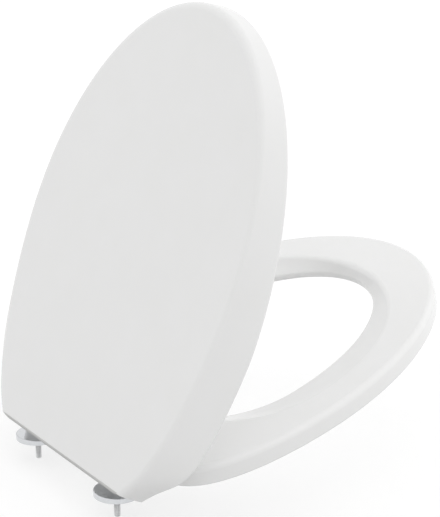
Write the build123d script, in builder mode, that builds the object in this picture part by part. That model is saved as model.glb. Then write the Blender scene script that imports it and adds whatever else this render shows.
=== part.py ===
"""Soft-close toilet seat: a lid and a seat ring that turn about one axis on two chromed hinge bases.

Millimetres. The origin is midway between the two mounting studs on the hinge deck, +Z is up and the
seat's front points to -Y. The lid and the ring are modelled part open, as they stand when let go.
"""
import os
from math import cos, radians, sin

from build123d import *

os.makedirs("parts", exist_ok=True)

# Pose: degrees open from flat
LID_OPEN = 68.3
RING_OPEN = 16.8

# Hinge axis and fixing to the pan
STUD_SPACING = 155.0
AXIS_HEIGHT = 40.4
AXIS_FORWARD = 7.8

# Lid: heights are measured from the hinge axis, lengths forward from it
LID_WIDTH = 419.6
LID_REAR_WIDTH = 251.4
LID_FRONT = 411.3
LID_OVERHANG = 31.1
LID_WIDEST = 133.5
LID_TOP = 18.1
LID_DEPTH = 19.6
LID_SKIN = 4.0
LID_SHOULDER = 7.6
LID_REAR_EDGE = 1.6
LID_RIM_EDGE = 1.0
RIM_WALL = 6.0
FACE_WALL = 4.0

# Flat face of the lid, which its walls slant down from: widest in front of the rim's widest place
FACE_WIDTH = 358.2
FACE_REAR_INSET = 7.9
FACE_WIDEST = 180.3
FACE_SETBACK = 3.4

# Sides of the outlines: lengths forward of the axis that they are drawn towards
RIM_FIRST_PULL = 101.5
RIM_SECOND_PULL = 53.4
RIM_THIRD_PULL = -18.6
RIM_LAST_PULL = 18.3
FACE_FIRST_PULL = 98.8
FACE_LAST_PULL = 11.3
RING_FIRST_PULL = 73.0
RING_LAST_PULL = 7.0
# The same as pairs of a share of the half width and that length
RIM_PULLS = ((1.0, RIM_FIRST_PULL), (0.945, RIM_SECOND_PULL), (0.876, RIM_THIRD_PULL), (0.854, RIM_LAST_PULL))
FACE_PULLS = ((1.0, FACE_FIRST_PULL), (0.865, FACE_LAST_PULL))
RING_PULLS = ((1.0, RING_FIRST_PULL), (0.9, RING_LAST_PULL))

# Seat ring: its top is flat outside a crest and slopes in from there to the nose of the opening
RING_SIDE_GAP = 15.0
RING_FRONT_GAP = 13.4
RING_REAR_WIDTH = 260.0
RING_WIDEST = 144.7
RING_TOP = 3.7
RING_DEPTH = 19.2
RING_SKIN = 7.0
RING_WALL = 8.0
RING_OUTER_EDGE = 5.4
RING_NOSE = -8.8
RING_NOSE_EDGE = 2.5
RING_CREST_EDGE = 6.0
RING_LOWER_EDGE = 2.0
RING_BRIDGE = 22.0
HOLE_WIDTH = 245.0
HOLE_FRONT = 336.2
HOLE_REAR = 53.3
HOLE_WIDEST = 157.8
CREST_SIDE = 42.5
CREST_FRONT = 3.6
CREST_REAR = 10.3
GROOVE_INSET = 5.0

# Hinge knuckles along the axis
KNUCKLE_R = 6.2
KNUCKLE_GAP = 0.8
POST_WIDTH = 12.0
LUG_WIDTH = 9.0
EAR_WIDTH = 9.0
SIDE_PLAY = 0.4
RUNNING_PLAY = 0.05
SEAT_PLAY = 0.02
PIN_R = 3.0
PIN_INSET = 0.6
BUSH_WALL = 1.2

# Hinge base
PLATE_R = 21.8
PLATE_THICKNESS = 5.0
PLATE_EDGE = 0.9
POST_DEPTH = 6.4
POST_SETBACK = 6.4
POST_CLEARANCE = 1.6
PAD_R = 18.5
PAD_INNER_R = 6.0
PAD_THICKNESS = 1.2

# Mounting stud
STUD_R = 3.0
STUD_REACH = 22.2
STUD_CHAMFER = 0.8
SPIGOT_R = 2.4
SPIGOT_LENGTH = 3.6

# Rotary damper
DAMPER_LENGTH = 26.0
DAMPER_STUB = 5.0
ROTOR_R = 4.0
ROTOR_LENGTH = 16.0
ROTOR_END_PLAY = 0.2
SHAFT_R = 2.6
SHAFT_FLAT = 1.9
JOURNAL_R = 2.0
CAP_WALL = 0.6
CAP_THICKNESS = 3.0

# Buffers
RING_BUFFER_R = 9.0
RING_BUFFER_HEIGHT = 6.5
RING_BUFFER_EDGE = 1.5
RING_BOSS_R = 12.0
BUFFER_STEM_R = 3.0
BUFFER_STEM = 8.0
LID_BUFFER_R = 7.0
LID_BUFFER_EDGE = 0.8
LID_BUFFER_PLAY = 0.3
LID_STEM_R = 2.2
LID_STEM = 2.0
RING_FRONT_BUFFERS = 30.0
RING_REAR_BUFFERS = 104.0
LID_FRONT_BUFFER_INSET = 118.494
LID_FRONT_BUFFER_SETBACK = 55.573
LID_REAR_BUFFER_INSET = 39.464
LID_REAR_BUFFER_SETBACK = 126.082

# Values that follow from the ones above
LID_INNER_TOP = LID_TOP - LID_SKIN
LID_RIM = LID_TOP - LID_DEPTH
FACE_REAR_WIDTH = LID_REAR_WIDTH - 2 * FACE_REAR_INSET
RING_WIDTH = LID_WIDTH - 2 * RING_SIDE_GAP
RING_FRONT = LID_FRONT - RING_FRONT_GAP
RING_BOTTOM = RING_TOP - RING_DEPTH
RING_REAR = KNUCKLE_R + KNUCKLE_GAP
POST_X = STUD_SPACING / 2
POST_HALF = POST_WIDTH / 2
BUSH_R = PIN_R + RUNNING_PLAY + BUSH_WALL
OUTER_LUG = POST_HALF + SIDE_PLAY
OUTER_EAR = OUTER_LUG + LUG_WIDTH + SIDE_PLAY
DAMPER_MOUTH = POST_HALF + DAMPER_LENGTH
INNER_LUG = DAMPER_MOUTH + SIDE_PLAY
INNER_EAR = INNER_LUG + LUG_WIDTH + SIDE_PLAY
LID_BUFFER_HEIGHT = LID_INNER_TOP - RING_TOP - LID_BUFFER_PLAY
SIDES = {"left": -1, "right": 1}


def flap_frame(angle):
    """The frame of a flap opened by an angle: X along the axis, -Y to its front, Z up when it is flat."""
    tilt = radians(angle)
    return Plane((0, -AXIS_FORWARD, AXIS_HEIGHT), x_dir=(1, 0, 0), z_dir=(0, sin(tilt), cos(tilt)))


def side_plane(frame, x):
    """A plane across the hinge axis at x, with its own X to the flap's rear and its Y up through the flap."""
    return Plane(frame.origin + frame.x_dir * x, x_dir=frame.y_dir, z_dir=frame.x_dir)


def egg(width, widest, front, rear_width, rear, pulls, inset=0.0):
    """A plan outline drawn in by an inset: half an ellipse in front, curved sides, straight rear."""
    half = width / 2
    to_front = front - inset - widest
    side = [(half - inset, -widest)]
    side += [(half * share - inset, -forward) for share, forward in pulls]
    side += [(rear_width / 2 - inset, -rear)]
    other = [(-x, y) for x, y in reversed(side)]
    with BuildLine() as outline:
        EllipticalCenterArc((0, -widest), half - inset, to_front, start_angle=180, arc_size=180)
        Bezier(*side)
        Line(side[-1], other[0])
        Bezier(*other)
    return outline.edges()


def lid_rim(inset, overhang):
    """Outline of the lid's rim, drawn in by an inset, with its rear edge behind the axis by an overhang."""
    return egg(LID_WIDTH, LID_WIDEST, LID_FRONT, LID_REAR_WIDTH, -overhang, RIM_PULLS, inset)


def lid_face(inset, overhang):
    """Outline of the lid's flat face, drawn in like the rim's."""
    front = LID_FRONT - FACE_SETBACK
    return egg(FACE_WIDTH, FACE_WIDEST, front, FACE_REAR_WIDTH, -overhang, FACE_PULLS, inset)


def ring_outline(inset):
    """Outer outline of the ring, drawn in by an inset."""
    return egg(RING_WIDTH, RING_WIDEST, RING_FRONT, RING_REAR_WIDTH, RING_REAR, RING_PULLS, inset)


def opening(side, front, rear):
    """The egg-shaped opening of the ring, widened by so much at its sides, front and rear."""
    half = HOLE_WIDTH / 2 + side
    middle = (0, -HOLE_WIDEST)
    to_front = HOLE_FRONT - HOLE_WIDEST + front
    to_rear = HOLE_WIDEST - HOLE_REAR + rear
    with BuildLine() as outline:
        EllipticalCenterArc(middle, half, to_front, start_angle=180, arc_size=180)
        EllipticalCenterArc(middle, half, to_rear, start_angle=0, arc_size=180)
    return outline.edges()


def band_point(angle):
    """A point midway across the flat of the ring's top, by its angle from straight ahead."""
    turn = radians(angle)
    across = (RING_WIDTH / 2 - RING_OUTER_EDGE + HOLE_WIDTH / 2 + CREST_SIDE) / 2
    outer = RING_WIDEST + (RING_FRONT - RING_WIDEST) * cos(turn)
    inner = HOLE_WIDEST + (HOLE_FRONT + CREST_FRONT - HOLE_WIDEST) * cos(turn)
    return (across * sin(turn), -(outer + inner) / 2)


def knuckle_span(side, start, width):
    """Low X and width of a knuckle on one side, by its distance outwards of the post (inwards below 0)."""
    ends = sorted((side * (POST_X + start), side * (POST_X + start + width)))
    return ends[0], ends[1] - ends[0]


def d_profile(radius, flat):
    """A round section with one flat, which keys a damper rotor."""
    Circle(radius)
    with Locations((radius + flat, 0)):
        Rectangle(2 * radius, 2 * radius, mode=Mode.SUBTRACT)


RING_BUFFER_POINTS = {
    "front_left": band_point(-RING_FRONT_BUFFERS),
    "front_right": band_point(RING_FRONT_BUFFERS),
    "rear_left": band_point(-RING_REAR_BUFFERS),
    "rear_right": band_point(RING_REAR_BUFFERS),
}
front_buffer = (FACE_WIDTH / 2 - LID_FRONT_BUFFER_INSET, LID_FRONT_BUFFER_SETBACK - LID_FRONT)
rear_buffer = (FACE_WIDTH / 2 - LID_REAR_BUFFER_INSET, LID_REAR_BUFFER_SETBACK - LID_FRONT)
LID_BUFFER_POINTS = {
    "front_left": (-front_buffer[0], front_buffer[1]),
    "front_right": front_buffer,
    "rear_left": (-rear_buffer[0], rear_buffer[1]),
    "rear_right": rear_buffer,
}
lid_frame = flap_frame(LID_OPEN)
ring_frame = flap_frame(RING_OPEN)
base_frame = flap_frame(0)
lid_up = Axis(lid_frame.origin, lid_frame.z_dir)
ring_up = Axis(ring_frame.origin, ring_frame.z_dir)

# Lid: a shallow inverted dish with walls that slant out to its rim, open at the rear, four hinge lugs inside
with BuildPart() as lid_cavity:
    with BuildSketch(lid_frame.offset(LID_RIM)):
        make_face(lid_rim(RIM_WALL, LID_OVERHANG + RIM_WALL))
    with BuildSketch(lid_frame.offset(LID_INNER_TOP)):
        make_face(lid_face(FACE_WALL, LID_OVERHANG + RIM_WALL))
    loft(ruled=True)

with BuildPart() as lid:
    with BuildSketch(lid_frame.offset(LID_RIM)):
        make_face(lid_rim(0, LID_OVERHANG))
    with BuildSketch(lid_frame.offset(LID_TOP)):
        make_face(lid_face(0, LID_OVERHANG))
    loft(ruled=True)
    shoulder = lid.faces().sort_by(lid_up)[-1].edges().filter_by(GeomType.LINE, reverse=True)
    fillet(shoulder, LID_SHOULDER)
    rear_edge = lid.faces().sort_by(lid_up)[-1].edges().sort_by(Axis(lid_frame.origin, lid_frame.y_dir))[-1]
    fillet(rear_edge, LID_REAR_EDGE)
    rim = lid.faces().sort_by(lid_up)[0].edges().filter_by(GeomType.LINE, reverse=True)
    fillet(rim, LID_RIM_EDGE)
    add(lid_cavity.part, mode=Mode.SUBTRACT)
    for side in SIDES.values():
        for start in (OUTER_LUG, -INNER_LUG - LUG_WIDTH):
            low, width = knuckle_span(side, start, LUG_WIDTH)
            with BuildSketch(side_plane(lid_frame, low)):
                Circle(KNUCKLE_R)
                with Locations((0, LID_INNER_TOP / 2)):
                    Rectangle(2 * KNUCKLE_R, LID_INNER_TOP + LID_SKIN / 2)
            extrude(amount=width)
        low, width = knuckle_span(side, OUTER_LUG, LUG_WIDTH)
        with BuildSketch(side_plane(lid_frame, low)):
            Circle(BUSH_R + SEAT_PLAY)
        extrude(amount=width, mode=Mode.SUBTRACT)
        low, width = knuckle_span(side, -INNER_LUG - LUG_WIDTH, LUG_WIDTH)
        with BuildSketch(side_plane(lid_frame, low)):
            if side == SIDES["left"]:
                d_profile(SHAFT_R + SEAT_PLAY, SHAFT_FLAT + SEAT_PLAY)
            else:
                Circle(SHAFT_R + RUNNING_PLAY)
        extrude(amount=width, mode=Mode.SUBTRACT)
    with BuildSketch(lid_frame.offset(LID_INNER_TOP)):
        with Locations(*LID_BUFFER_POINTS.values()):
            Circle(LID_STEM_R + SEAT_PLAY)
    extrude(amount=LID_STEM + SEAT_PLAY, mode=Mode.SUBTRACT)
lid.part.label = "lid"
export_step(lid.part, "parts/lid.step")

# Seat ring: rounded outside, dished to its opening, hollow below, with four hinge ears at the rear
with BuildPart() as ring_dish:
    with BuildSketch(ring_frame.offset(RING_NOSE)):
        make_face(opening(0, 0, 0))
    with BuildSketch(ring_frame.offset(RING_TOP)):
        make_face(opening(CREST_SIDE, CREST_FRONT, CREST_REAR))
    loft(ruled=True)

with BuildPart() as ring_groove:
    with BuildSketch(ring_frame.offset(RING_BOTTOM)):
        make_face(ring_outline(RING_WALL))
        inner = (CREST_SIDE + GROOVE_INSET, CREST_FRONT + 2 * GROOVE_INSET, CREST_REAR + GROOVE_INSET)
        make_face(opening(*inner), mode=Mode.SUBTRACT)
        with Locations((0, LID_OVERHANG)):
            Rectangle(LID_WIDTH, 2 * (LID_OVERHANG + RING_REAR + RING_BRIDGE), mode=Mode.SUBTRACT)
        with Locations(*RING_BUFFER_POINTS.values()):
            Circle(RING_BOSS_R, mode=Mode.SUBTRACT)
    extrude(amount=RING_DEPTH - RING_SKIN)

with BuildPart() as seat_ring:
    with BuildSketch(ring_frame.offset(RING_BOTTOM)):
        make_face(ring_outline(0))
        make_face(opening(0, 0, 0), mode=Mode.SUBTRACT)
    extrude(amount=RING_DEPTH)
    add(ring_dish.part, mode=Mode.SUBTRACT)
    top_loops = seat_ring.faces().sort_by(ring_up)[-1].wires().sort_by(SortBy.LENGTH)
    fillet(top_loops[0].edges(), RING_CREST_EDGE)
    top_loops = seat_ring.faces().sort_by(ring_up)[-1].wires().sort_by(SortBy.LENGTH)
    fillet(top_loops[-1].edges(), RING_OUTER_EDGE)
    nose = ring_frame.offset(RING_NOSE)
    fillet([e for e in seat_ring.edges() if abs(nose.to_local_coords(e @ 0.5).Z) < 0.01], RING_NOSE_EDGE)
    fillet(seat_ring.faces().sort_by(ring_up)[0].edges(), RING_LOWER_EDGE)
    add(ring_groove.part, mode=Mode.SUBTRACT)
    for side in SIDES.values():
        low, width = knuckle_span(side, -POST_HALF - POST_CLEARANCE, POST_WIDTH + 2 * POST_CLEARANCE)
        with BuildSketch(side_plane(ring_frame, low)):
            notch = POST_SETBACK + POST_DEPTH + POST_CLEARANCE
            with Locations((0, RING_BOTTOM)):
                Rectangle(2 * notch, 2 * RING_DEPTH + 2 * RING_TOP)
        extrude(amount=width, mode=Mode.SUBTRACT)
        for start in (OUTER_EAR, -INNER_EAR - EAR_WIDTH):
            low, width = knuckle_span(side, start, EAR_WIDTH)
            with BuildSketch(side_plane(ring_frame, low)):
                Circle(KNUCKLE_R)
                with Locations((-RING_REAR - RING_OUTER_EDGE, RING_TOP - KNUCKLE_R)):
                    Circle(KNUCKLE_R)
                make_hull()
            extrude(amount=width)
        low, width = knuckle_span(side, OUTER_EAR, EAR_WIDTH)
        with BuildSketch(side_plane(ring_frame, low)):
            Circle(BUSH_R + SEAT_PLAY)
        extrude(amount=width, mode=Mode.SUBTRACT)
        low, width = knuckle_span(side, -INNER_EAR - EAR_WIDTH, EAR_WIDTH)
        with BuildSketch(side_plane(ring_frame, low)):
            if side == SIDES["right"]:
                d_profile(SHAFT_R + SEAT_PLAY, SHAFT_FLAT + SEAT_PLAY)
            else:
                Circle(JOURNAL_R + RUNNING_PLAY)
        extrude(amount=width, mode=Mode.SUBTRACT)
    with BuildSketch(ring_frame.offset(RING_BOTTOM)):
        with Locations(*RING_BUFFER_POINTS.values()):
            Circle(BUFFER_STEM_R + SEAT_PLAY)
    extrude(amount=BUFFER_STEM + SEAT_PLAY, mode=Mode.SUBTRACT)
seat_ring.part.label = "seat_ring"
export_step(seat_ring.part, "parts/seat_ring.step")

# Buffers: pucks with a stem, four under the ring and four under the lid
for place, point in RING_BUFFER_POINTS.items():
    with BuildPart() as ring_buffer:
        with BuildSketch(ring_frame.offset(RING_BOTTOM)):
            with Locations(point):
                Circle(RING_BUFFER_R)
        extrude(amount=-RING_BUFFER_HEIGHT)
        fillet(ring_buffer.faces().sort_by(ring_up)[0].edges(), RING_BUFFER_EDGE)
        with BuildSketch(ring_frame.offset(RING_BOTTOM)):
            with Locations(point):
                Circle(BUFFER_STEM_R)
        extrude(amount=BUFFER_STEM)
    ring_buffer.part.label = f"ring_buffer_{place}"
    export_step(ring_buffer.part, f"parts/ring_buffer_{place}.step")

for place, point in LID_BUFFER_POINTS.items():
    with BuildPart() as lid_buffer:
        with BuildSketch(lid_frame.offset(LID_INNER_TOP)):
            with Locations(point):
                Circle(LID_BUFFER_R)
        extrude(amount=-LID_BUFFER_HEIGHT)
        fillet(lid_buffer.faces().sort_by(lid_up)[0].edges(), LID_BUFFER_EDGE)
        with BuildSketch(lid_frame.offset(LID_INNER_TOP)):
            with Locations(point):
                Circle(LID_STEM_R)
        extrude(amount=LID_STEM)
    lid_buffer.part.label = f"lid_buffer_{place}"
    export_step(lid_buffer.part, f"parts/lid_buffer_{place}.step")

# Hinge on each side: base casting, pad, stud, pin, bushes and damper
for name, side in SIDES.items():
    low, width = knuckle_span(side, -POST_HALF, POST_WIDTH)
    with BuildPart() as hinge_base:
        with BuildSketch():
            with Locations((side * POST_X, 0)):
                Circle(PLATE_R)
        extrude(amount=PLATE_THICKNESS)
        fillet(hinge_base.edges().group_by(Axis.Z)[-1], PLATE_EDGE)
        with BuildSketch(side_plane(base_frame, low)):
            Circle(KNUCKLE_R)
            foot = PLATE_THICKNESS - PLATE_EDGE - AXIS_HEIGHT
            with Locations((-POST_SETBACK - POST_DEPTH / 2, foot + PLATE_EDGE)):
                Rectangle(POST_DEPTH, 2 * PLATE_EDGE)
            make_hull()
        extrude(amount=width)
        with BuildSketch(side_plane(base_frame, low)):
            Circle(PIN_R + SEAT_PLAY)
        extrude(amount=width, mode=Mode.SUBTRACT)
        with BuildSketch():
            with Locations((side * POST_X, 0)):
                Circle(PAD_R)
                Circle(PAD_INNER_R, mode=Mode.SUBTRACT)
        extrude(amount=PAD_THICKNESS, mode=Mode.SUBTRACT)
        with BuildSketch():
            with Locations((side * POST_X, 0)):
                Circle(SPIGOT_R + SEAT_PLAY)
        extrude(amount=SPIGOT_LENGTH, mode=Mode.SUBTRACT)
    hinge_base.part.label = f"hinge_base_{name}"
    export_step(hinge_base.part, f"parts/hinge_base_{name}.step")

    with BuildPart() as plate_pad:
        with BuildSketch():
            with Locations((side * POST_X, 0)):
                Circle(PAD_R - SEAT_PLAY)
                Circle(PAD_INNER_R + SEAT_PLAY, mode=Mode.SUBTRACT)
        extrude(amount=PAD_THICKNESS)
    plate_pad.part.label = f"plate_pad_{name}"
    export_step(plate_pad.part, f"parts/plate_pad_{name}.step")

    with BuildPart() as stud:
        with BuildSketch():
            with Locations((side * POST_X, 0)):
                Circle(STUD_R)
        extrude(amount=-STUD_REACH)
        chamfer(stud.edges().group_by(Axis.Z)[0], STUD_CHAMFER)
        with BuildSketch():
            with Locations((side * POST_X, 0)):
                Circle(SPIGOT_R)
        extrude(amount=SPIGOT_LENGTH)
    stud.part.label = f"mounting_stud_{name}"
    export_step(stud.part, f"parts/mounting_stud_{name}.step")

    pin_start = DAMPER_STUB - POST_HALF
    low, width = knuckle_span(side, pin_start, OUTER_EAR + EAR_WIDTH - PIN_INSET - pin_start)
    with BuildPart() as hinge_pin:
        with BuildSketch(side_plane(base_frame, low)):
            Circle(PIN_R)
        extrude(amount=width)
    hinge_pin.part.label = f"hinge_pin_{name}"
    export_step(hinge_pin.part, f"parts/hinge_pin_{name}.step")

    for bush_name, frame, start, length in (
        ("lid_bush", lid_frame, OUTER_LUG, LUG_WIDTH),
        ("ring_bush", ring_frame, OUTER_EAR, EAR_WIDTH),
    ):
        low, width = knuckle_span(side, start, length)
        with BuildPart() as bush:
            with BuildSketch(side_plane(frame, low)):
                Circle(BUSH_R)
                Circle(PIN_R + RUNNING_PLAY, mode=Mode.SUBTRACT)
            extrude(amount=width)
        bush.part.label = f"{bush_name}_{name}"
        export_step(bush.part, f"parts/{bush_name}_{name}.step")

    with BuildPart() as barrel:
        low, width = knuckle_span(side, -DAMPER_MOUTH, DAMPER_LENGTH)
        with BuildSketch(side_plane(base_frame, low)):
            Circle(KNUCKLE_R)
        extrude(amount=width)
        low, width = knuckle_span(side, -POST_HALF, DAMPER_STUB)
        with BuildSketch(side_plane(base_frame, low)):
            Circle(PIN_R)
        extrude(amount=width)
        low, width = knuckle_span(side, -DAMPER_MOUTH, CAP_THICKNESS + ROTOR_LENGTH + 2 * ROTOR_END_PLAY)
        with BuildSketch(side_plane(base_frame, low)):
            Circle(ROTOR_R + RUNNING_PLAY)
        extrude(amount=width, mode=Mode.SUBTRACT)
        low, width = knuckle_span(side, -DAMPER_MOUTH, CAP_THICKNESS)
        with BuildSketch(side_plane(base_frame, low)):
            Circle(ROTOR_R + CAP_WALL + SEAT_PLAY)
        extrude(amount=width, mode=Mode.SUBTRACT)
    barrel.part.label = f"damper_barrel_{name}"
    export_step(barrel.part, f"parts/damper_barrel_{name}.step")

    with BuildPart() as cap:
        low, width = knuckle_span(side, -DAMPER_MOUTH, CAP_THICKNESS)
        with BuildSketch(side_plane(base_frame, low)):
            Circle(ROTOR_R + CAP_WALL)
            Circle(SHAFT_R + RUNNING_PLAY, mode=Mode.SUBTRACT)
        extrude(amount=width)
    cap.part.label = f"damper_cap_{name}"
    export_step(cap.part, f"parts/damper_cap_{name}.step")

    # The left rotor is keyed in the lid's lug, and its tip runs in the ring's ear.
    # The right rotor is keyed in the ring's ear.
    if name == "left":
        frame, keyed, keyed_width = lid_frame, -INNER_LUG - LUG_WIDTH, LUG_WIDTH
    else:
        frame, keyed, keyed_width = ring_frame, -INNER_EAR - EAR_WIDTH, EAR_WIDTH
    rotor_start = CAP_THICKNESS + ROTOR_END_PLAY - DAMPER_MOUTH
    with BuildPart() as rotor:
        low, width = knuckle_span(side, rotor_start, ROTOR_LENGTH)
        with BuildSketch(side_plane(frame, low)):
            Circle(ROTOR_R)
        extrude(amount=width)
        low, width = knuckle_span(side, keyed + keyed_width, rotor_start - keyed - keyed_width)
        with BuildSketch(side_plane(frame, low)):
            Circle(SHAFT_R)
        extrude(amount=width)
        low, width = knuckle_span(side, keyed, keyed_width)
        with BuildSketch(side_plane(frame, low)):
            d_profile(SHAFT_R, SHAFT_FLAT)
        extrude(amount=width)
        if name == "left":
            low, width = knuckle_span(side, -INNER_EAR - EAR_WIDTH, EAR_WIDTH + SIDE_PLAY)
            with BuildSketch(side_plane(frame, low)):
                Circle(JOURNAL_R)
            extrude(amount=width)
    rotor.part.label = f"damper_rotor_{name}"
    export_step(rotor.part, f"parts/damper_rotor_{name}.step")
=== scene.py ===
"""Looks of the soft-close toilet seat: finishes, threaded studs, rear edge, studio and camera, in metres."""
import math

import bpy
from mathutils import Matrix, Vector


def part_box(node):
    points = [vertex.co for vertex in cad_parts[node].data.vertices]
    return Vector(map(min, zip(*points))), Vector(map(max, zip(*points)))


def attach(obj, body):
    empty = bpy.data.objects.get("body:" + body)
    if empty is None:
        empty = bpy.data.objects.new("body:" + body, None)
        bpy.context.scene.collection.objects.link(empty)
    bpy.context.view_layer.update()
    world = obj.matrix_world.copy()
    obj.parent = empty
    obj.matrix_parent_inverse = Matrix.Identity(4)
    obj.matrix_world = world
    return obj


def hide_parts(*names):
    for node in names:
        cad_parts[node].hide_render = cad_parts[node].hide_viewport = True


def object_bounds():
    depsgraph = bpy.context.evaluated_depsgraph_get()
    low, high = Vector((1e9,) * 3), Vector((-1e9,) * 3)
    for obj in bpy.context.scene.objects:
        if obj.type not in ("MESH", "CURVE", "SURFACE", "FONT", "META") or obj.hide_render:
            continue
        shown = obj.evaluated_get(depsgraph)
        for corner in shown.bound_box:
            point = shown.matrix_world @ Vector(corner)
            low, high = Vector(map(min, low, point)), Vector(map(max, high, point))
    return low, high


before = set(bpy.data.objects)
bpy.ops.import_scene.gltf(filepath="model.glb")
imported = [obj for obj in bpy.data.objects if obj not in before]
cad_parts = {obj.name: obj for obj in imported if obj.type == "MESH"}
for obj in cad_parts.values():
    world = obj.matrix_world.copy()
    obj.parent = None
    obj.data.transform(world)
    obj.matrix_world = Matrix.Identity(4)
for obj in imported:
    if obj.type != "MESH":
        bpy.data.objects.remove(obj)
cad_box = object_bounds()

MM = 0.001
SIDES = ("left", "right")
BUFFER_PLACES = ("front_left", "front_right", "rear_left", "rear_right")

# Mounting studs: M6 thread, in millimetres
STUD_R = 3.0
STUD_REACH = 22.2
STUD_CHAMFER = 0.8
SPIGOT_R = 2.4
SPIGOT_TOP = 3.6
THREAD_PITCH = 1.0
THREAD_DEPTH = 0.55
# Share of each flank that is flat at the crest and at the root
THREAD_FLAT = 0.1
# Points round the stud, and rows of them in one pitch
THREAD_POINTS = 36
THREAD_ROWS = 8

# Rear edge of the lid: angle open in degrees, place of the hinge axis, and a rounded profile as lengths
# forward of the axis and heights above it, in millimetres
LID_OPEN = 68.3
AXIS_FORWARD = 7.8
AXIS_HEIGHT = 40.4
EDGE_HALF_WIDTH = 112.0
EDGE_TAPER = 9.0
EDGE_ROOT = -29.4
EDGE_PROFILE = (
    (-29.4, 18.12),
    (-30.4, 18.02),
    (-31.3, 17.72),
    (-32.1, 17.15),
    (-32.65, 16.4),
    (-32.95, 15.6),
    (-33.0, 14.8),
    (-32.7, 14.3),
    (-31.6, 14.15),
    (-29.4, 14.15),
)
# Share of its size that the edge keeps at both ends
EDGE_END_SHARE = 0.45
# Sections of the edge: even steps over half its width, and closer ones at the ends, as shares of it
EDGE_STEPS = 10
EDGE_END_SECTIONS = (0.94, 0.965, 0.985, 1.0)

# Half the floor's length in metres
FLOOR_REACH = 6.0

# Lamps: the direction that each shines from, its strength, and its width in degrees
LAMPS = {
    "front_lamp": ((0.0, -0.978, 0.208), 0.95, 70),
    "left_lamp": ((-0.707, 0.0, 0.707), 0.7, 90),
    "right_lamp": ((0.856, 0.47, 0.214), 0.52, 50),
}

# Camera: place in metres, angles in degrees, sensor in millimetres, and picture size, focal length and
# the point that the optical axis meets in pixels
EYE = (-1.1141, 0.594, 0.57)
AZIMUTH = 236.37
ELEVATION = 16.42
SENSOR_WIDTH = 36.0
IMAGE = (440, 517)
FOCAL = 1439.0
AXIS_AT = (204.8, 262.3)


def linear(hex_colour):
    """An sRGB hex colour as linear RGBA."""
    values = [int(hex_colour[i : i + 2], 16) / 255 for i in (1, 3, 5)]
    return [v / 12.92 if v <= 0.04045 else ((v + 0.055) / 1.055) ** 2.4 for v in values] + [1.0]


def add(tree, kind, inputs=None, **settings):
    """Adds a node with its settings; each input is a value or the output socket that feeds it."""
    made = tree.nodes.new(kind)
    for key, value in settings.items():
        setattr(made, key, value)
    for key, value in (inputs or {}).items():
        if isinstance(value, bpy.types.NodeSocket):
            tree.links.new(value, made.inputs[key])
        else:
            made.inputs[key].default_value = value
    return made


def finish(name, **plain):
    """A new material, its node tree, its shader with plain values set, and metres on the part."""
    material = bpy.data.materials.new(name)
    material.use_nodes = True
    tree = material.node_tree
    shader = tree.nodes["Principled BSDF"]
    for key, value in plain.items():
        shader.inputs[key.replace("_", " ")].default_value = value
    place = add(tree, "ShaderNodeTexCoord").outputs["Object"]
    return material, tree, shader, place


def seen_as(tree, seen, other):
    """A colour that the camera, gloss and glass see as one and all other light meets as another."""
    path = add(tree, "ShaderNodeLightPath").outputs
    sight = path["Is Camera Ray"]
    for ray in ("Is Glossy Ray", "Is Transmission Ray"):
        sight = add(tree, "ShaderNodeMath", {0: sight, 1: path[ray]}, operation="MAXIMUM").outputs[0]
    pick = add(tree, "ShaderNodeMix", {"Factor": sight}, data_type="RGBA")
    pick.inputs["A"].default_value = other
    pick.inputs["B"].default_value = seen
    return pick.outputs["Result"]


def place_in_scene(name, data):
    """A new object in the scene with its mesh, lamp or camera."""
    made = bpy.data.objects.new(name, data)
    bpy.context.scene.collection.objects.link(made)
    return made


def studio_lamp(name, towards, energy, width):
    """A broad soft lamp that shines from a direction; gloss shows the white room in its place."""
    light = bpy.data.lights.new(name, "SUN")
    light.energy = energy
    light.angle = math.radians(width)
    lamp = place_in_scene(name, light)
    lamp.visible_glossy = False
    lamp.rotation_euler = (-Vector(towards)).to_track_quat("-Z", "Y").to_euler()


def closed_tube(name, loops, material, smooth):
    """A closed piece through loops of points, capped at both ends, with its sides smooth or flat."""
    count = len(loops[0])
    verts = [point for loop in loops for point in loop]
    faces = []
    for row in range(len(loops) - 1):
        for i in range(count):
            a, b = row * count + i, row * count + (i + 1) % count
            faces.append((a, b, b + count, a + count))
    faces.append(tuple(reversed(range(count))))
    faces.append(tuple(range(len(verts) - count, len(verts))))
    mesh = bpy.data.meshes.new(name)
    mesh.from_pydata(verts, [], faces)
    for face in mesh.polygons:
        face.use_smooth = smooth and len(face.vertices) == 4
    mesh.materials.append(material)
    return place_in_scene(name, mesh)


def threaded_stud(side):
    """A mounting stud with its screw thread, drawn in rows up the stud from its end to its spigot."""
    middle = sum(c[0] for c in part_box(f"mounting_stud_{side}")) / 2
    rows = [(SPIGOT_TOP, SPIGOT_R, 0.0), (0.0, SPIGOT_R, 0.0)]
    steps = round(STUD_REACH / THREAD_PITCH * THREAD_ROWS)
    for step in range(steps + 1):
        depth = STUD_REACH * step / steps
        rows.append((-depth, min(STUD_R, STUD_R - STUD_CHAMFER + STUD_REACH - depth), THREAD_DEPTH))
    loops = []
    for z, radius, groove in reversed(rows):
        loop = []
        for i in range(THREAD_POINTS):
            turn = i / THREAD_POINTS
            wave = abs(((z / THREAD_PITCH + turn) % 1) * 2 - 1)
            cut = groove * min(1, max(0, (wave - THREAD_FLAT) / (1 - 2 * THREAD_FLAT)))
            r = min(radius, STUD_R - cut)
            angle = 2 * math.pi * turn
            loop.append((middle + r * MM * math.cos(angle), r * MM * math.sin(angle), z * MM))
        loops.append(loop)
    stud = closed_tube(f"threaded_stud_{side}", loops, zinc, smooth=False)
    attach(stud, "hinge_bases")
    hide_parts(f"mounting_stud_{side}")


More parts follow.
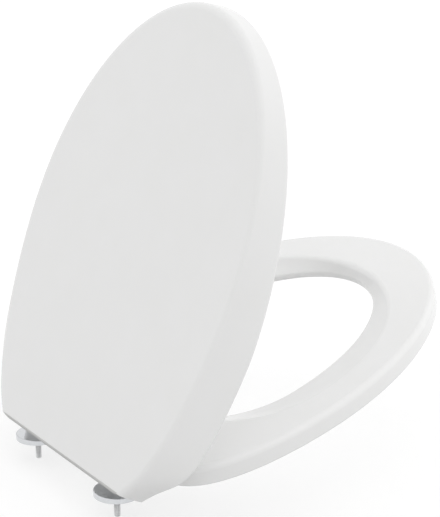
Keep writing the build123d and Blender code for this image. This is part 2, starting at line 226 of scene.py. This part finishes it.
def rounded_rear_edge():
    """The rounded lower edge of the lid's rear, a thin roll along it that runs out at both corners."""
    tilt = math.radians(LID_OPEN)
    stations = [-end for end in reversed(EDGE_END_SECTIONS)]
    stations += [i / EDGE_STEPS for i in range(1 - EDGE_STEPS, EDGE_STEPS)]
    stations += EDGE_END_SECTIONS
    loops = []
    for station in stations:
        x = station * EDGE_HALF_WIDTH
        out = math.sqrt(max(0.0, min(1.0, (EDGE_HALF_WIDTH - abs(x)) / EDGE_TAPER)))
        share = EDGE_END_SHARE + (1 - EDGE_END_SHARE) * out
        loop = []
        for length, height in EDGE_PROFILE:
            forward = EDGE_ROOT + (length - EDGE_ROOT) * share
            y = -AXIS_FORWARD - (forward * math.cos(tilt) - height * math.sin(tilt))
            z = AXIS_HEIGHT + forward * math.sin(tilt) + height * math.cos(tilt)
            loop.append((x * MM, y * MM, z * MM))
        loops.append(loop)
    # The roll takes the greyer matt moulding, whose colour is painted shade for the dark line under the rear
    # edge.
    edge = closed_tube("lid_rear_edge", loops, shaded_edge, smooth=True)
    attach(edge, "lid")


# Urea moulding, pressed in a polished steel mould: a hard neutral white with a clear gloss.
# Shrinkage leaves slow waves in the reflections, and wiping dulls the gloss a little in patches.
urea, tree, shader, place = finish("urea_moulding_white", IOR=1.55)
cloud = add(tree, "ShaderNodeTexNoise", {"Vector": place, "Scale": 1 / (38 * MM), "Detail": 3.0})
tint = add(tree, "ShaderNodeMix", {"Factor": cloud.outputs["Fac"]}, data_type="RGBA")
tint.inputs["A"].default_value = linear("#ECECEB")
tint.inputs["B"].default_value = linear("#EFEFEF")
tree.links.new(tint.outputs["Result"], shader.inputs["Base Color"])
wiped = add(tree, "ShaderNodeTexNoise", {"Vector": place, "Scale": 1 / (9 * MM), "Detail": 4.0})
gloss = add(tree, "ShaderNodeMapRange", {"Value": wiped.outputs["Fac"], "To Min": 0.17, "To Max": 0.27})
tree.links.new(gloss.outputs["Result"], shader.inputs["Roughness"])
wave = add(tree, "ShaderNodeTexNoise", {"Vector": place, "Scale": 1 / (14 * MM), "Detail": 1.0})
peel = add(tree, "ShaderNodeBump", {"Height": wave.outputs["Fac"], "Strength": 0.35, "Distance": 0.12 * MM})
tree.links.new(peel.outputs["Normal"], shader.inputs["Normal"])

# The same moulding on the roll along the lid's rear edge: matt, with a fine grain, and greyer as painted
# shade for the dark line along that edge.
shaded_edge, tree, shader, place = finish("urea_moulding_painted_shade_edge", Roughness=0.85, Specular_IOR_Level=0.1)
edge_grain = add(tree, "ShaderNodeTexNoise", {"Vector": place, "Scale": 1 / (0.6 * MM), "Detail": 4.0})
painted_shade_grain = add(tree, "ShaderNodeMix", {"Factor": edge_grain.outputs["Fac"]}, data_type="RGBA")
painted_shade_grain.inputs["A"].default_value = linear("#C4C4C2")
painted_shade_grain.inputs["B"].default_value = linear("#D2D2D1")
tree.links.new(painted_shade_grain.outputs["Result"], shader.inputs["Base Color"])

# Bright chrome plate on a polished zinc casting: a near mirror with fine polishing haze.
chrome, tree, shader, place = finish("chrome_plated_casting", Metallic=1.0)
haze = add(tree, "ShaderNodeTexNoise", {"Vector": place, "Scale": 1 / (2.5 * MM), "Detail": 4.0})
mist = add(tree, "ShaderNodeMapRange", {"Value": haze.outputs["Fac"], "To Min": 0.04, "To Max": 0.12})
tree.links.new(mist.outputs["Result"], shader.inputs["Roughness"])
shade = add(tree, "ShaderNodeMix", {"Factor": haze.outputs["Fac"]}, data_type="RGBA")
shade.inputs["A"].default_value = linear("#CDCFD2")
shade.inputs["B"].default_value = linear("#DCDEE0")
tree.links.new(shade.outputs["Result"], shader.inputs["Base Color"])

# Zinc-plated steel, barrel plated: a pale grey metal, mottled and half matt.
zinc, tree, shader, place = finish("zinc_plated_steel", Metallic=1.0)
spangle = add(tree, "ShaderNodeTexVoronoi", {"Vector": place, "Scale": 1 / (1.6 * MM)})
mottle = add(tree, "ShaderNodeMix", {"Factor": spangle.outputs["Distance"]}, data_type="RGBA")
mottle.inputs["A"].default_value = linear("#DADBDC")
mottle.inputs["B"].default_value = linear("#F0F0F0")
tree.links.new(mottle.outputs["Result"], shader.inputs["Base Color"])
matt = add(tree, "ShaderNodeMapRange", {"Value": spangle.outputs["Distance"], "To Min": 0.3, "To Max": 0.48})
tree.links.new(matt.outputs["Result"], shader.inputs["Roughness"])

# Stainless steel rod, ground round and round: grey metal with fine rings along it.
ground_steel, tree, shader, place = finish("ground_stainless_steel", Metallic=1.0)
rings = add(tree, "ShaderNodeMapping", {"Vector": place, "Scale": (1 / (0.4 * MM), 8.0, 8.0)})
grind = add(tree, "ShaderNodeTexNoise", {"Vector": rings.outputs["Vector"], "Scale": 1.0, "Detail": 2.0})
line = add(tree, "ShaderNodeMapRange", {"Value": grind.outputs["Fac"], "To Min": 0.18, "To Max": 0.42})
tree.links.new(line.outputs["Result"], shader.inputs["Roughness"])
shader.inputs["Base Color"].default_value = linear("#B0B1B3")

# Thermoplastic elastomer, injection moulded: a soft pale rubber with a satin, faintly pebbled skin.
elastomer, tree, shader, place = finish("elastomer_buffer", IOR=1.5)
pebble = add(tree, "ShaderNodeTexNoise", {"Vector": place, "Scale": 1 / (0.9 * MM), "Detail": 3.0})
satin = add(tree, "ShaderNodeMapRange", {"Value": pebble.outputs["Fac"], "To Min": 0.48, "To Max": 0.66})
tree.links.new(satin.outputs["Result"], shader.inputs["Roughness"])
skin = add(tree, "ShaderNodeBump", {"Height": pebble.outputs["Fac"], "Strength": 0.3, "Distance": 0.08 * MM})
tree.links.new(skin.outputs["Normal"], shader.inputs["Normal"])
shader.inputs["Base Color"].default_value = linear("#E2E2DE")

# Sealing rubber sheet, die cut: dark grey, matt, with a fine dusty grain.
sealing_rubber, tree, shader, place = finish("sealing_rubber", IOR=1.5)
dust = add(tree, "ShaderNodeTexNoise", {"Vector": place, "Scale": 1 / (0.7 * MM), "Detail": 5.0})
grey = add(tree, "ShaderNodeMix", {"Factor": dust.outputs["Fac"]}, data_type="RGBA")
grey.inputs["A"].default_value = linear("#2A2A2B")
grey.inputs["B"].default_value = linear("#3E3E3F")
tree.links.new(grey.outputs["Result"], shader.inputs["Base Color"])
dull = add(tree, "ShaderNodeMapRange", {"Value": dust.outputs["Fac"], "To Min": 0.7, "To Max": 0.9})
tree.links.new(dull.outputs["Result"], shader.inputs["Roughness"])

# Nylon, injection moulded in a spark-eroded mould: light grey with a fine even grain.
nylon, tree, shader, place = finish("nylon_housing", IOR=1.53)
grain = add(tree, "ShaderNodeTexNoise", {"Vector": place, "Scale": 1 / (0.8 * MM), "Detail": 4.0})
even = add(tree, "ShaderNodeMapRange", {"Value": grain.outputs["Fac"], "To Min": 0.42, "To Max": 0.58})
tree.links.new(even.outputs["Result"], shader.inputs["Roughness"])
eroded = add(
    tree, "ShaderNodeBump", {"Height": grain.outputs["Fac"], "Strength": 0.25, "Distance": 0.05 * MM}
)
tree.links.new(eroded.outputs["Normal"], shader.inputs["Normal"])
shader.inputs["Base Color"].default_value = linear("#C8CACB")

# Acetal, turned or moulded: a waxy milk white with a low sheen.
acetal, tree, shader, place = finish("acetal_bearing", IOR=1.48)
milk = add(tree, "ShaderNodeTexNoise", {"Vector": place, "Scale": 1 / (3 * MM), "Detail": 3.0})
sheen = add(tree, "ShaderNodeMapRange", {"Value": milk.outputs["Fac"], "To Min": 0.34, "To Max": 0.46})
tree.links.new(sheen.outputs["Result"], shader.inputs["Roughness"])
shader.inputs["Base Color"].default_value = linear("#E9E9E4")

# Finish of each piece of the part
finish_of = {"lid": urea, "seat_ring": urea}
for at in BUFFER_PLACES:
    finish_of[f"ring_buffer_{at}"] = elastomer
    finish_of[f"lid_buffer_{at}"] = elastomer
for side in SIDES:
    finish_of[f"hinge_base_{side}"] = chrome
    finish_of[f"plate_pad_{side}"] = sealing_rubber
    finish_of[f"mounting_stud_{side}"] = zinc
    finish_of[f"hinge_pin_{side}"] = ground_steel
    finish_of[f"damper_barrel_{side}"] = nylon
    finish_of[f"damper_cap_{side}"] = nylon
    finish_of[f"damper_rotor_{side}"] = acetal
    finish_of[f"lid_bush_{side}"] = acetal
    finish_of[f"ring_bush_{side}"] = acetal
for name, material in finish_of.items():
    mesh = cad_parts[name].data
    mesh.materials.clear()
    mesh.materials.append(material)

# Pieces that the scene adds to the part
for side in SIDES:
    threaded_stud(side)
rounded_rear_edge()

# Floor at the foot of the studs, white to the horizon
corners = [(x * FLOOR_REACH, y * FLOOR_REACH, cad_box[0][2]) for x, y in ((-1, -1), (1, -1), (1, 1), (-1, 1))]
floor_mesh = bpy.data.meshes.new("floor")
floor_mesh.from_pydata(corners, [], [(0, 1, 2, 3)])
floor = place_in_scene("floor", floor_mesh)
# White paper that glows to the eye, so that the shadow on it stays pale
paper, tree, shader, _ = finish("studio_paper", Roughness=0.9, Emission_Strength=0.7)
tree.links.new(seen_as(tree, linear("#959595"), linear("#CBCBCB")), shader.inputs["Base Color"])
tree.links.new(seen_as(tree, linear("#FFFFFF"), linear("#000000")), shader.inputs["Emission Color"])
floor_mesh.materials.append(paper)

# World: an even white room
world = bpy.data.worlds.new("studio")
bpy.context.scene.world = world
world.use_nodes = True
tree = world.node_tree
room = seen_as(tree, linear("#FFFFFF"), linear("#E2E2E2"))
tree.links.new(room, tree.nodes["Background"].inputs["Color"])

# Three broad soft lamps: low in front, high on the left, and low on the right
for name, (towards, energy, width) in LAMPS.items():
    studio_lamp(name, towards, energy, width)

# Camera behind the seat on its left, looking down a little at the lid's middle
camera = bpy.data.cameras.new("camera")
camera.sensor_width = SENSOR_WIDTH
camera.lens = FOCAL * SENSOR_WIDTH / max(IMAGE)
camera.shift_x = (IMAGE[0] / 2 - AXIS_AT[0]) / max(IMAGE)
camera.shift_y = (AXIS_AT[1] - IMAGE[1] / 2) / max(IMAGE)
turn, lift = math.radians(AZIMUTH), math.radians(ELEVATION)
back = Vector((math.sin(turn) * math.cos(lift), -math.cos(turn) * math.cos(lift), math.sin(lift)))
eye = place_in_scene("camera", camera)
eye.location = EYE
eye.rotation_euler = (-back).to_track_quat("-Z", "Y").to_euler()
bpy.context.scene.camera = eye
bpy.context.scene.view_settings.view_transform = "Standard"
